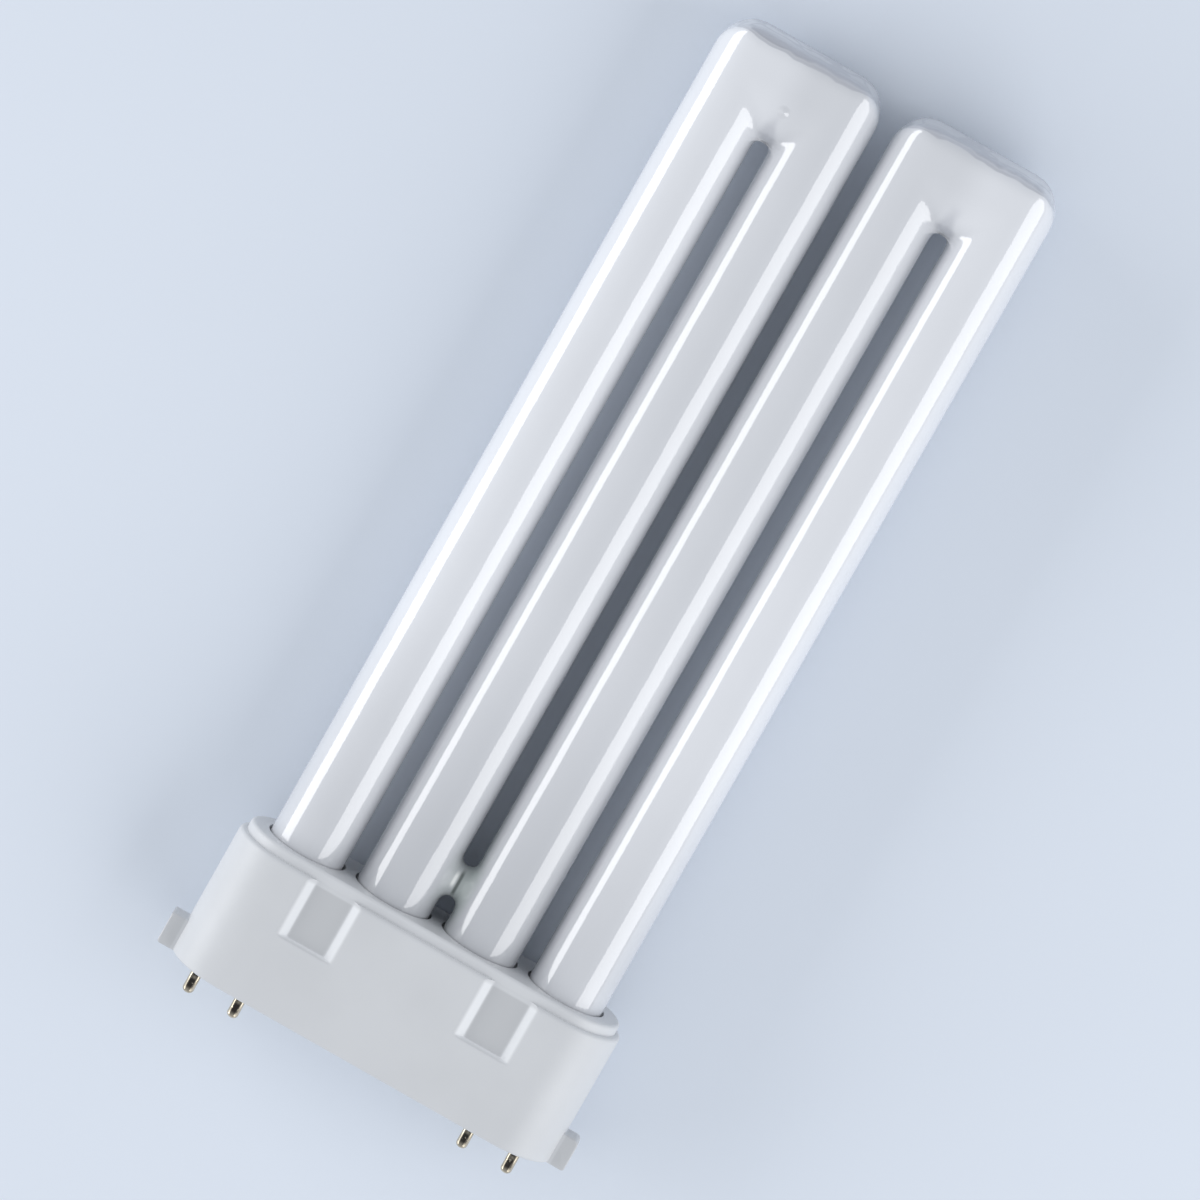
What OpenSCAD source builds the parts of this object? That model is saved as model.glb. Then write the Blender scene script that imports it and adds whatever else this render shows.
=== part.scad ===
// Flat compact fluorescent lamp with four legs and four pins in one row.
// It is drawn standing on the bottom face of its base and then laid on its rear broad face.

/* [Glass vessel] */
// Outside diameter of each glass leg
tube_d = 16; // [12:0.5:18]
// Distance between the axes of neighbouring legs
leg_pitch = 19.35; // [18.5:0.05:24]
// Height of the tube tips above the bottom face of the base
lamp_h = 217; // [122:1:260]
// Height of the glass above the slot of the left-hand U
left_bend_h = 19.7; // [16:0.1:30]
// Height of the glass above the slot of the right-hand U
right_bend_h = 18.2; // [16:0.1:30]
// Radius of the outer corners of each bend, seen from the front
bend_corner_r = 7.5; // [4:0.5:9]
// Radius along the top edge of each bend, front and back
bend_top_r = 3; // [1:0.5:5]
// Thickness of the edge of glass along the top of each slot
slot_edge_t = 1; // [0.6:0.2:6]
// Diameter of the bridge at its neck
bridge_neck_d = 6.8; // [4:0.2:9]
// Diameter of the bridge where it meets the legs
bridge_root_d = 9; // [8:0.2:12]
// How far the bridge's waist runs on into each leg
bridge_flare = 0.5; // [0.2:0.1:1]
// Height of the middle of the bridge above the collar
bridge_rise = 9.2; // [6:0.1:30]

/* [Sealed ends] */
// Height left for the lead wires between the pins and the pressed seals
wire_room = 4.8; // [3:0.1:6]
// Height of the sloping shoulders above each pressed seal
seal_shoulder_h = 3; // [2:0.5:4]
// Height of each pressed seal
seal_h = 4; // [2:0.5:4]
// Thickness of each pressed seal
seal_t = 4; // [2:0.5:6]
// Width of each pressed seal
seal_w = 12; // [8:0.5:14]
// Diameter of the tipped-off exhaust stem under each inner leg
stem_d = 3.5; // [2:0.5:6]
// Length of the exhaust stem
stem_l = 4; // [2:0.5:7]

/* [Base shell] */
// Height of the shell
shell_h = 28.6; // [27:0.1:40]
// Thickness of the side walls
shell_wall = 2.2; // [1.8:0.1:3]
// Thickness of the floor
floor_t = 3; // [2:0.1:4]
// Length of the base beyond the round of the outer sockets, at each end
end_room = 1.5; // [0.5:0.1:6]
// Radius on the top edge of the shell
rim_r = 0.9; // [0.3:0.1:1.1]
// Radius on the bottom edge of the shell
foot_r = 0.6; // [0.3:0.1:2]

/* [Catch recesses] */
// Distance of each recess from the middle of the base
catch_x = 19.8; // [10:0.1:22]
// Width of a recess on the face of the shell
catch_w = 12.2; // [8:0.1:16]
// Width of a recess on its floor
catch_floor_w = 8.2; // [4:0.1:8.2]
// Depth of a recess
catch_depth = 1.3; // [0.6:0.1:1.5]
// Height of a recess
catch_h = 13.3; // [6:0.1:20]

/* [Locating lugs] */
// How far each lug stands out from the end of the shell
lug_out = 3.2; // [1:0.1:6]
// Height of a lug
lug_h = 6.8; // [3:0.1:12]
// Thickness of a lug
lug_t = 6; // [3:0.1:12]
// Radius of the outer top corner of a lug
lug_r = 1.2; // [0.4:0.1:2.5]
// Radius of the outer bottom corner of a lug
lug_foot_r = 0.6; // [0.3:0.1:1.5]

/* [Tube holder] */
// Height of the collar above the shell
collar_h = 2.2; // [1.5:0.1:5]
// Distance of the collar's side inside the side of the shell
collar_step = 1.3; // [1:0.1:1.8]
// Radius on the top edge of the collar
collar_r = 0.8; // [0.3:0.1:1.2]
// Room between a leg and its socket
socket_gap = 0.5; // [0.2:0.05:0.8]
// Thickness of the socket walls
socket_wall = 1.15; // [0.8:0.05:2]
// Length of the sockets below the top of the collar
socket_l = 11; // [7:0.5:12]
// Height of the lip that enters the shell
lip_h = 4; // [3:0.5:6]
// Thickness of the lip
lip_t = 1.2; // [0.8:0.1:2]
// Room between the lip and the shell
lip_gap = 0.15; // [0.05:0.05:0.3]
// Thickness of the web between neighbouring sockets
web_t = 1.4; // [0.8:0.1:3]
// Length of the snap ridges on the long sides of the lip
snap_l = 14; // [6:1:30]
// Height of a snap ridge
snap_h = 1; // [0.6:0.1:1.5]
// How far a snap ridge reaches into the wall of the shell
snap_in = 0.35; // [0.2:0.05:0.5]

/* [Cement] */
// Depth of the cement below the top of the collar
cement_drop = 1.5; // [0.5:0.1:3]
// Length of the cement ring
cement_l = 8; // [3:0.5:9]
// Film left between the cement and its neighbours
cement_film = 0.03; // [0.01:0.01:0.08]

/* [Pins and wires] */
// Diameter of a pin
pin_d = 2.35; // [2:0.05:3]
// Diameter of a pin's shank inside the floor
shank_d = 2.8; // [2.6:0.1:3.4]
// Length of a pin outside the base
pin_l = 6.6; // [4:0.1:10]
// Distance between the two pins of a pair
pin_pitch = 10; // [7:0.5:11]
// Distance of each pair's middle outside the axis of its leg
pair_out = 1.8; // [0:0.1:2.5]
// Bore of a hollow pin
pin_bore_d = 1.5; // [1:0.05:1.7]
// Thickness of the closed tip round the wire
tip_wall = 1.2; // [0.9:0.1:2]
// Radius of a pin's tip edge
pin_tip_r = 0.9; // [0.3:0.1:0.9]
// Room between a pin's shank and its hole
pin_gap = 0.04; // [0.02:0.01:0.1]
// Diameter of the flange that seats a pin on its boss
pin_flange_d = 4; // [3.5:0.1:6]
// Thickness of the flange
pin_flange_t = 0.8; // [0.5:0.1:1.2]
// Length of a pin above its flange
pin_tail_l = 0.7; // [0.3:0.1:1.2]
// Height of the boss under each flange
boss_h = 1.5; // [0.5:0.1:2]
// Diameter of the boss
boss_d = 5.6; // [4.5:0.1:7]
// Diameter of a lead wire
wire_d = 0.5; // [0.3:0.05:0.8]
// Room between a wire and the hole in a pin's tip
wire_gap = 0.05; // [0.02:0.01:0.1]
// Distance of each wire from the middle of its pressed seal
wire_spread = 3.5; // [2:0.1:4.5]
// Straight length of a wire below the seal and above the pin
wire_drop = 0.8; // [0.4:0.1:1]
// Diameter of a wire at its bends, as a share of its diameter
bend_swell = 1.1; // [1.05:0.05:1.3]

/* [Hidden] */
$fn = 96;

// How far a cut runs past the face that it opens
past = 1;

tube_r = tube_d / 2;
gap = leg_pitch - tube_d;
leg_x = [for (i = [0:3]) (i - 1.5) * leg_pitch];
outer_legs = [0, 3];
inner_legs = [1, 2];
slot_tops = [lamp_h - left_bend_h, lamp_h - right_bend_h];
bend_under_r = tube_r - slot_edge_t / 2;

socket_r = tube_r + socket_gap;
socket_out_r = socket_r + socket_wall;
base_d = 2 * (socket_out_r + lip_gap + shell_wall);
base_l = leg_x[3] - leg_x[0] + base_d + 2 * end_room;
collar_top = shell_h + collar_h;
bridge_z = collar_top + bridge_rise;

lip_grow = shell_wall + lip_gap;
snap_z = shell_h - lip_h / 2;
pin_x = [for (side = [-1, 1], k = [-1, 1]) side * (leg_x[3] + pair_out) + k * pin_pitch / 2];
wire_x = [for (side = [-1, 1], k = [-1, 1]) side * leg_x[3] + k * wire_spread];
flange_z = floor_t + boss_h;
pin_top = flange_z + pin_flange_t + pin_tail_l;
seal_z = pin_top + wire_room;
leg_end = seal_z + seal_h + seal_shoulder_h;
tip_hole_d = wire_d + 2 * wire_gap;

glass_c = [0.93, 0.94, 0.97];
shell_c = [0.80, 0.81, 0.83];
holder_c = [0.81, 0.82, 0.84];
pin_c = [0.85, 0.78, 0.58];
wire_c = [0.72, 0.70, 0.66];
cement_c = [0.90, 0.88, 0.82];

// Lays the standing lamp on its rear broad face, with the box centre over the origin
module laid() {
  translate([0, (pin_l - lamp_h) / 2, base_d / 2]) rotate([-90, 0, 0]) children();
}

// Rectangle from x = 0 to w and from y = 0 to h, with its outer corners rounded
module half_section(w, h, top_r, foot_r) {
  intersection() {
    square([w, h]);
    union() {
      square([w - top_r, h]);
      square([w - foot_r, h - top_r]);
      translate([0, foot_r]) square([w, h - top_r - foot_r]);
      translate([w - top_r, h - top_r]) circle(top_r);
      translate([w - foot_r, foot_r]) circle(foot_r);
    }
  }
}

// Block with a stadium plan of length l and depth d, and rounded top and bottom edges
module stadium_block(l, d, h, top_r, foot_r) {
  straight = l - d;
  translate([-straight / 2, 0, 0]) rotate([90, 0, 90]) linear_extrude(straight) {
    half_section(d / 2, h, top_r, foot_r);
    mirror([1, 0]) half_section(d / 2, h, top_r, foot_r);
  }
  for (side = [0, 1]) mirror([side, 0, 0])
    translate([straight / 2, 0, 0]) rotate_extrude(angle = 180, start = -90)
      half_section(d / 2, h, top_r, foot_r);
}

// Block with a stadium plan and sharp edges
module stadium_prism(l, d, h) {
  straight = l - d;
  linear_extrude(h) {
    square([straight, d], center = true);
    for (x = [-straight / 2, straight / 2]) translate([x, 0]) circle(d / 2);
  }
}

// Closed top of one U, where its two legs run together into a squared bend
module bend(slot_top) {
  bend_h = lamp_h - slot_top;
  wide = leg_pitch + tube_d;
  translate([0, 0, slot_top]) intersection() {
    stadium_prism(wide, tube_d, bend_h);
    rotate([90, 0, 0]) linear_extrude(tube_d + 2 * past, center = true) {
      half_section(wide / 2, bend_h, bend_corner_r, 0);
      mirror([1, 0]) half_section(wide / 2, bend_h, bend_corner_r, 0);
    }
    rotate([90, 0, 90]) linear_extrude(wide + 2 * past, center = true) {
      half_section(tube_r, bend_h, bend_top_r, bend_under_r);
      mirror([1, 0]) half_section(tube_r, bend_h, bend_top_r, bend_under_r);
    }
  }
  translate([0, 0, slot_top - gap / 2]) difference() {
    translate([-gap, -slot_edge_t / 2, 0]) cube([2 * gap, slot_edge_t, gap]);
    rotate([90, 0, 0]) cylinder(r = gap / 2, h = slot_edge_t + 2 * past, center = true);
  }
}

// Straight leg from its closed end up into the bend
module leg(slot_top) {
  translate([0, 0, leg_end]) cylinder(r = tube_r, h = slot_top + bend_under_r - leg_end);
}

// Neck of glass between the two inner legs, waisted halfway
module bridge() {
  neck_r = bridge_neck_d / 2;
  root_r = bridge_root_d / 2;
  waist_r = gap / 2 + bridge_flare;
  reach = leg_pitch / 2;
  translate([0, 0, bridge_z]) rotate([0, 90, 0]) rotate_extrude() difference() {
    translate([0, -reach]) square([root_r, 2 * reach]);
    translate([neck_r + waist_r, 0]) circle(waist_r);
  }
}

// Flat seal pressed across the end of an outer leg, with sloping shoulders
module pressed_seal() {
  full = seal_shoulder_h + seal_h;
  translate([0, 0, seal_z]) intersection() {
    cylinder(r = tube_r, h = full);
    rotate([90, 0, 90]) linear_extrude(tube_d, center = true)
      polygon([
        [-seal_t / 2, 0], [seal_t / 2, 0], [seal_t / 2, seal_h], [tube_r, full],
        [-tube_r, full], [-seal_t / 2, seal_h]
      ]);
    rotate([90, 0, 0]) linear_extrude(tube_d, center = true)
      polygon([
        [-seal_w / 2, 0], [seal_w / 2, 0], [seal_w / 2, seal_h], [tube_r, full],
        [-tube_r, full], [-seal_w / 2, seal_h]
      ]);
  }
}

// Rounded end of an inner leg with its tipped-off stem
module domed_end() {
  dome_h = seal_shoulder_h;
  dome_r = (tube_r * tube_r + dome_h * dome_h) / (2 * dome_h);
  translate([0, 0, leg_end]) {
    intersection() {
      translate([0, 0, dome_r - dome_h]) sphere(dome_r);
      translate([0, 0, -dome_h]) cylinder(r = tube_r, h = dome_h);
    }
    translate([0, 0, -stem_l]) cylinder(d = stem_d, h = stem_l);
    translate([0, 0, -stem_l]) sphere(d = stem_d);
  }
}

// Blown glass: two U tubes, the bridge and the four closed ends in one piece
module discharge_vessel() {
  color(glass_c) laid() {
    for (u = [0, 1]) translate([(2 * u - 1) * leg_pitch, 0, 0]) {
      bend(slot_tops[u]);
      for (side = [-1, 1]) translate([side * leg_pitch / 2, 0, 0]) leg(slot_tops[u]);
    }
    bridge();
    for (i = outer_legs) translate([leg_x[i], 0, 0]) pressed_seal();
    for (i = inner_legs) translate([leg_x[i], 0, 0]) domed_end();
  }
}

// Recess for a catch of the lampholder, open at the rim, cut into the front face
module catch_cut() {
  slope = (catch_w - catch_floor_w) / 2 / catch_depth;
  face_w = catch_w / 2 + slope * past;
  translate([0, 0, shell_h - catch_h]) linear_extrude(catch_h + past)
    translate([0, -base_d / 2])
      polygon([
        [-face_w, -past], [face_w, -past],
        [catch_floor_w / 2, catch_depth], [-catch_floor_w / 2, catch_depth]
      ]);
}

// Lug on the end of the shell, rooted in its wall
module lug() {
  root = base_l / 2 - shell_wall / 2;
  tip = base_l / 2 + lug_out;
  rotate([90, 0, 0]) linear_extrude(lug_t, center = true) {
    translate([root, 0]) half_section(tip - root, lug_h, lug_r, lug_foot_r);
  }
}

// Snap ridge along the lip, drawn with extra room where it is cut into the shell
module snap_ridge(room) {
  half = base_d / 2 - shell_wall;
  for (side = [0, 1]) mirror([0, side, 0])
    translate([-snap_l / 2 - room, half - lip_gap - lip_t / 2, snap_z - snap_h / 2 - room])
      cube([snap_l + 2 * room, lip_t / 2 + lip_gap + snap_in + room, snap_h + 2 * room]);
}

// Moulded cup of the base
module base_shell() {
  color(shell_c) laid() difference() {
    union() {
      difference() {
        stadium_block(base_l, base_d, shell_h, rim_r, foot_r);
        translate([0, 0, floor_t])
          stadium_prism(base_l - 2 * shell_wall, base_d - 2 * shell_wall, shell_h);
      }
      for (side = [0, 1]) mirror([side, 0, 0]) lug();
      for (x = pin_x) translate([x, 0, floor_t / 2]) cylinder(d = boss_d, h = flange_z - floor_t / 2);
    }
    for (face = [0, 1], x = [-catch_x, catch_x]) mirror([0, face, 0]) translate([x, 0, 0]) catch_cut();
    for (x = pin_x) translate([x, 0, -past]) cylinder(d = shank_d + 2 * pin_gap, h = flange_z + 2 * past);
    snap_ridge(lip_gap);
  }
}

// Moulded insert with the collar above the shell and a socket round each leg
module tube_holder() {
  socket_z = collar_top - socket_l;
  color(holder_c) laid() difference() {
    union() {
      translate([0, 0, shell_h])
        stadium_block(base_l - 2 * collar_step, base_d - 2 * collar_step, collar_h, collar_r, 0);
      translate([0, 0, shell_h - lip_h]) difference() {
        stadium_prism(base_l - 2 * lip_grow, base_d - 2 * lip_grow, lip_h + collar_h / 2);
        translate([0, 0, -past])
          stadium_prism(base_l - 2 * lip_grow - 2 * lip_t, base_d - 2 * lip_grow - 2 * lip_t, lip_h + past);
      }
      for (x = leg_x) translate([x, 0, socket_z]) cylinder(r = socket_out_r, h = socket_l - collar_h / 2);
      translate([leg_x[0], -web_t / 2, socket_z])
        cube([leg_x[3] - leg_x[0], web_t, socket_l - collar_h / 2]);
      snap_ridge(0);
    }
    for (x = leg_x) translate([x, 0, socket_z - past]) cylinder(r = socket_r, h = socket_l + 2 * past);
  }
}

// Hollow pin with a flange seated on its boss and a small hole in its tip
module contact_pin(i) {
  pin_r = pin_d / 2;
  color(pin_c) laid() translate([pin_x[i], 0, 0]) rotate_extrude() difference() {
    union() {
      translate([0, -pin_l]) half_section(pin_r, pin_l + pin_top, 0, pin_tip_r);
      square([shank_d / 2, flange_z + pin_flange_t]);
      translate([0, flange_z]) square([pin_flange_d / 2, pin_flange_t]);
    }
    translate([0, tip_wall - pin_l]) square([pin_bore_d / 2, pin_l + pin_top]);
    translate([0, -pin_l - past]) square([tip_hole_d / 2, pin_l]);
  }
}

// Round wire along a list of points, with a slight swell where it is bent
module wire_run(points) {
  for (k = [1:len(points) - 1]) {
    run = points[k] - points[k - 1];
    translate(points[k - 1]) rotate([0, acos(run.z / norm(run)), atan2(run.y, run.x)])
      cylinder(d = wire_d, h = norm(run));
  }
  for (k = [1:len(points) - 2]) translate(points[k]) sphere(d = wire_d * bend_swell);
}

// Lead wire from a pressed seal through the pin to its tip
module lead_wire(i) {
  color(wire_c) laid() wire_run([
    [wire_x[i], 0, seal_z], [wire_x[i], 0, seal_z - wire_drop],
    [pin_x[i], 0, pin_top + wire_drop], [pin_x[i], 0, -pin_l]
  ]);
}

// Ring of cement between a leg and its socket
module tube_cement(i) {
  color(cement_c) laid() translate([leg_x[i], 0, collar_top - cement_drop - cement_l])
    difference() {
      cylinder(r = socket_r - cement_film, h = cement_l);
      translate([0, 0, -past]) cylinder(r = tube_r + cement_film, h = cement_l + 2 * past);
    }
}

discharge_vessel();
base_shell();
tube_holder();
contact_pin(0);  // contact_pin_1
contact_pin(1);  // contact_pin_2
contact_pin(2);  // contact_pin_3
contact_pin(3);  // contact_pin_4
lead_wire(0);  // lead_wire_1
lead_wire(1);  // lead_wire_2
lead_wire(2);  // lead_wire_3
lead_wire(3);  // lead_wire_4
tube_cement(0);  // tube_cement_1
tube_cement(1);  // tube_cement_2
tube_cement(2);  // tube_cement_3
tube_cement(3);  // tube_cement_4
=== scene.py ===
"""Flat pin-base compact fluorescent lamp, lying on a pale sheet under soft studio light."""

import math

import bmesh
import bpy
import numpy as np
from bpy.props import FloatProperty, FloatVectorProperty, PointerProperty
from mathutils import Matrix, Vector
from mathutils.bvhtree import BVHTree


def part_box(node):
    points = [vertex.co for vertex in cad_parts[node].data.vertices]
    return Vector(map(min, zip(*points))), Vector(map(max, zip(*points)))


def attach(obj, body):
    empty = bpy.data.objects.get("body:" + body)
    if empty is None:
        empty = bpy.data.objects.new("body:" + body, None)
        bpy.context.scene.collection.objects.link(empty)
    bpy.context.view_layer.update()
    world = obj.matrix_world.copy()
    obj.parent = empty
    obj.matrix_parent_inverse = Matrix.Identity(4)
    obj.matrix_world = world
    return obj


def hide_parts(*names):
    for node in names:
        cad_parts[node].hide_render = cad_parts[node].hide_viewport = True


bl_info = {
    "name": "Flat Fluorescent Lamp",
    "version": (1, 0, 0),
    "blender": (4, 5, 0),
    "location": "3D View > Sidebar > Lamp",
    "description": "Builds a compact fluorescent lamp with flat U tubes and its studio",
    "category": "Object",
}

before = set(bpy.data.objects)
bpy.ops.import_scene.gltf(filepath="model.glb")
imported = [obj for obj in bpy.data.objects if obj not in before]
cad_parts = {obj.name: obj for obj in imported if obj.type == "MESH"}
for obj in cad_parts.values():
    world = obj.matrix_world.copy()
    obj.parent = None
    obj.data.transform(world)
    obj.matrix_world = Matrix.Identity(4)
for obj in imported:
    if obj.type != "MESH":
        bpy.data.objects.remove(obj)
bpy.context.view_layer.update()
MM = 0.001

# Places and sizes that the solids give, in metres
GLASS_LOW, GLASS_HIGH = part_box("discharge_vessel")
SHELL_LOW, SHELL_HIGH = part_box("base_shell")
AXIS_Z = (GLASS_LOW.z + GLASS_HIGH.z) / 2
LEG_R = (GLASS_HIGH.z - GLASS_LOW.z) / 2
LEG_PITCH = (GLASS_HIGH.x - GLASS_LOW.x - 2 * LEG_R) / 3
LEG_X = [(i - 1.5) * LEG_PITCH for i in range(4)]
BASE_HALF_DEPTH = (SHELL_HIGH.z - SHELL_LOW.z) / 2
FOOT_Y = SHELL_LOW.y
RIM_Y = SHELL_HIGH.y
COLLAR_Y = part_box("tube_holder")[1].y
TIP_Y = GLASS_HIGH.y
# The dents are just past the middle of what shows of a pin
DENT_Y = (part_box("contact_pin_1")[0].y + FOOT_Y) / 2 + 0.3 * MM
PIN_NODES = [f"contact_pin_{i}" for i in range(1, 5)]
WIRE_NODES = [f"lead_wire_{i}" for i in range(1, 5)]
CEMENT_NODES = [f"tube_cement_{i}" for i in range(1, 5)]


def length(name, description, value, low=0.0, high=1.0):
    """A length property in metres."""
    return FloatProperty(
        name=name, description=description, default=value, min=low, max=high,
        unit="LENGTH", precision=5,
    )


def colour(name, description, value):
    """A colour property."""
    return FloatVectorProperty(
        name=name, description=description, default=value, size=3, min=0, max=1, subtype="COLOR"
    )


class LampGlassSettings(bpy.types.PropertyGroup):
    """Sizes and colours of the coated glass."""

    left_slot: length("Left slot", "Distance from the tube tips to the left slot", 19.7 * MM)
    right_slot: length("Right slot", "Distance from the tube tips to the right slot", 18.2 * MM)
    bridge_rise: length("Bridge rise", "Middle of the bridge above the collar", 9.2 * MM)
    cell: length("Cell", "Size of the faces of the glass mesh", 0.76 * MM, 0.0003)
    left_pinch: length("Left pinch", "Depth of the crease above the left slot", 0.5 * MM)
    right_pinch: length("Right pinch", "Depth of the crease above the right slot", 0.35 * MM)
    slot_edge: length("Slot edge", "Half thickness of the glass along the top of a slot", 0.5 * MM)
    left_steep: FloatProperty(
        name="Left steepness", description="Height of the left creases for their width",
        default=1.55, min=1, max=2,
    )
    right_steep: FloatProperty(
        name="Right steepness", description="Height of the right creases for their width",
        default=1.4, min=1, max=2,
    )
    coating: colour("Coating", "Colour of the coated glass", (0.80, 0.81, 0.84))
    # Bare glass where the coating thins at the bridge, also painted shade on the bridge's right
    # side and the flank to its right
    bare_and_shade: colour("Bare glass", "Colour where the coating thins out", (0.46, 0.50, 0.485))
    # Painted shade on the tips, where the bends face along the lamp
    tip_shade_tint: colour("Tip tint", "Colour of the thin coating at the tips", (0.40, 0.41, 0.455))
    seam: colour("Seam", "Colour of the join in the bridge", (0.10, 0.12, 0.11))
    # Painted glint: a light stripe of colour beside the bridge's seam
    glint: colour("Glint", "Colour of the bead of coating beside the join", (0.92, 0.93, 0.90))
    # Painted shade: the grey that darkens the inner legs and the feet of the glass
    shade_grey: colour("Shade grey", "Grey that ages the coating", (0.30, 0.31, 0.33))
    # Painted shade along the folds of the moulded bends and in the creases above the slots
    fold_shade: colour("Fold", "Colour of the folds in the moulded bends", (0.42, 0.43, 0.48))


class LampBaseSettings(bpy.types.PropertyGroup):
    """Sizes and colours of the moulded base."""

    catch_x: length("Recess place", "Distance of each recess from the middle", 19.8 * MM)
    catch_w: length("Recess width", "Width of a recess on the face", 12.2 * MM)
    catch_floor_w: length("Recess floor", "Width of a recess on its floor", 8.2 * MM)
    catch_h: length("Recess height", "Height of a recess", 13.3 * MM)
    catch_depth: length("Recess depth", "Depth of a recess", 1.3 * MM)
    wall: length("Wall", "Thickness of the shell's side walls", 2.2 * MM)
    floor: length("Floor", "Thickness of the shell's floor", 3.0 * MM)
    rim_r: length("Rim radius", "Radius on the shell's top edge", 0.9 * MM)
    foot_r: length("Foot radius", "Radius on the shell's bottom edge", 0.6 * MM)
    lug_out: length("Lug reach", "How far a lug stands out from the shell", 3.2 * MM)
    lug_h: length("Lug height", "Height of a lug", 6.8 * MM)
    lug_t: length("Lug thickness", "Thickness of a lug", 6.0 * MM)
    plastic: colour("Plastic", "Colour of the moulded plastic", (0.66, 0.67, 0.685))


class LampPinSettings(bpy.types.PropertyGroup):
    """Sizes and colours of the contact pins."""

    pin_r: length("Pin radius", "Radius of a contact pin", 1.175 * MM)
    tip_r: length("Tip radius", "Radius of the edge of a pin's tip", 0.9 * MM)
    hole_r: length("Tip hole", "Radius of the hole in a pin's tip", 0.3 * MM)
    dent: length("Dent", "Depth of the dent that grips the lead wire", 0.3 * MM)
    metal: colour("Metal", "Colour of the pins", (0.74, 0.66, 0.52))
    # Painted dark reflection on the pins' front and back round their dents
    reflection: colour("Reflection", "Colour of the dark residue in the dents", (0.05, 0.045, 0.04))


class LampStageSettings(bpy.types.PropertyGroup):
    """Camera, lights and floor."""

    distance: length("Distance", "Distance of the camera", 2.6, 0.5, 10)
    view_width: length("View width", "Width that the picture takes in", 0.2332, 0.05, 2)
    tilt: FloatProperty(
        name="Tilt", description="Lean of the camera towards the tube tips",
        default=math.radians(12), subtype="ANGLE",
    )
    roll: FloatProperty(
        name="Roll", description="Turn of the lamp in the picture",
        default=math.radians(29.59), subtype="ANGLE",
    )
    paper: colour("Paper", "Colour of the floor", (0.75, 0.80, 0.875))


# Node groups that several materials use

# Noise values between which a slow tone goes from its colour to its shade
TONE_SPAN = (0.35, 0.65)
# Scale of the slow change in a moulding's roughness
GLOSS_SCALE = 180.0


def rgba(values):
    """A colour with full alpha."""
    return (*values, 1.0)


def shaded(values, share):
    """A colour made darker by a share, or lighter by one above 1."""
    return tuple(v * share for v in values)


def feed(tree, socket, value):
    """Links an input to a socket, or gives it a plain value."""
    if isinstance(value, bpy.types.NodeSocket):
        tree.links.new(value, socket)
    else:
        socket.default_value = value


def node_group(name, inputs, outputs):
    """A new shader node group with its sockets, and its input and output nodes."""
    group = bpy.data.node_groups.new(name, "ShaderNodeTree")
    for socket, kind, value in inputs:
        made = group.interface.new_socket(socket, in_out="INPUT", socket_type=kind)
        made.default_value = value
    for socket, kind in outputs:
        group.interface.new_socket(socket, in_out="OUTPUT", socket_type=kind)
    return group, group.nodes.new("NodeGroupInput"), group.nodes.new("NodeGroupOutput")


def add_noise(tree, vector, scale, detail=2.0):
    """A noise texture on a vector, and its output."""
    noise = tree.nodes.new("ShaderNodeTexNoise")
    noise.inputs["Detail"].default_value = detail
    feed(tree, noise.inputs["Scale"], scale)
    tree.links.new(vector, noise.inputs["Vector"])
    return noise.outputs["Fac"]


def add_stretched_noise(tree, vector, stretch, scale, detail):
    """Noise with its own scale along the lamp, and its output."""
    mapping = tree.nodes.new("ShaderNodeMapping")
    mapping.inputs["Scale"].default_value = (1.0, stretch, 1.0)
    tree.links.new(vector, mapping.inputs["Vector"])
    return add_noise(tree, mapping.outputs["Vector"], scale, detail)


def add_math(tree, operation, *values):
    """A math node fed by sockets or numbers, and its output."""
    made = tree.nodes.new("ShaderNodeMath")
    made.operation = operation
    for socket, value in zip(made.inputs, values):
        feed(tree, socket, value)
    return made.outputs[0]


def add_product(tree, first, second):
    """Product of two sockets or numbers, and its output."""
    return add_math(tree, "MULTIPLY", first, second)


def add_gap(tree, value, other):
    """How far a value is from another, and its output."""
    return add_math(tree, "ABSOLUTE", add_math(tree, "SUBTRACT", value, other))


def add_fade(tree, value, near, far):
    """Smooth fade from 1 at near to 0 at far, and its output."""
    made = tree.nodes.new("ShaderNodeMapRange")
    made.interpolation_type = "SMOOTHSTEP"
    made.inputs["From Min"].default_value = near
    made.inputs["From Max"].default_value = far
    made.inputs["To Min"].default_value = 1.0
    made.inputs["To Max"].default_value = 0.0
    tree.links.new(value, made.inputs["Value"])
    return made.outputs["Result"]


def add_rise(tree, value, near, far):
    """Smooth rise from 0 at near to 1 at far, and its output."""
    return add_math(tree, "SUBTRACT", 1.0, add_fade(tree, value, near, far))


def add_mix(tree, share, first, second):
    """Mix of two colours, each a socket or a value, and its output."""
    made = tree.nodes.new("ShaderNodeMix")
    made.data_type = "RGBA"
    tree.links.new(share, made.inputs["Factor"])
    feed(tree, made.inputs["A"], first)
    feed(tree, made.inputs["B"], second)
    return made.outputs["Result"]


def add_tint(tree, mask, share, under, tint):
    """A colour laid over another by a share of a mask, and its output."""
    return add_mix(tree, add_product(tree, mask, share), under, rgba(tint))


def add_spot(tree, parts, centre, sides, ends):
    """Mask round a place that fades across the lamp and along it, and its output."""
    across = add_fade(tree, add_gap(tree, parts["X"], centre[0]), *sides)
    along = add_fade(tree, add_gap(tree, parts["Y"], centre[1]), *ends)
    return add_product(tree, across, along)


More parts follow.
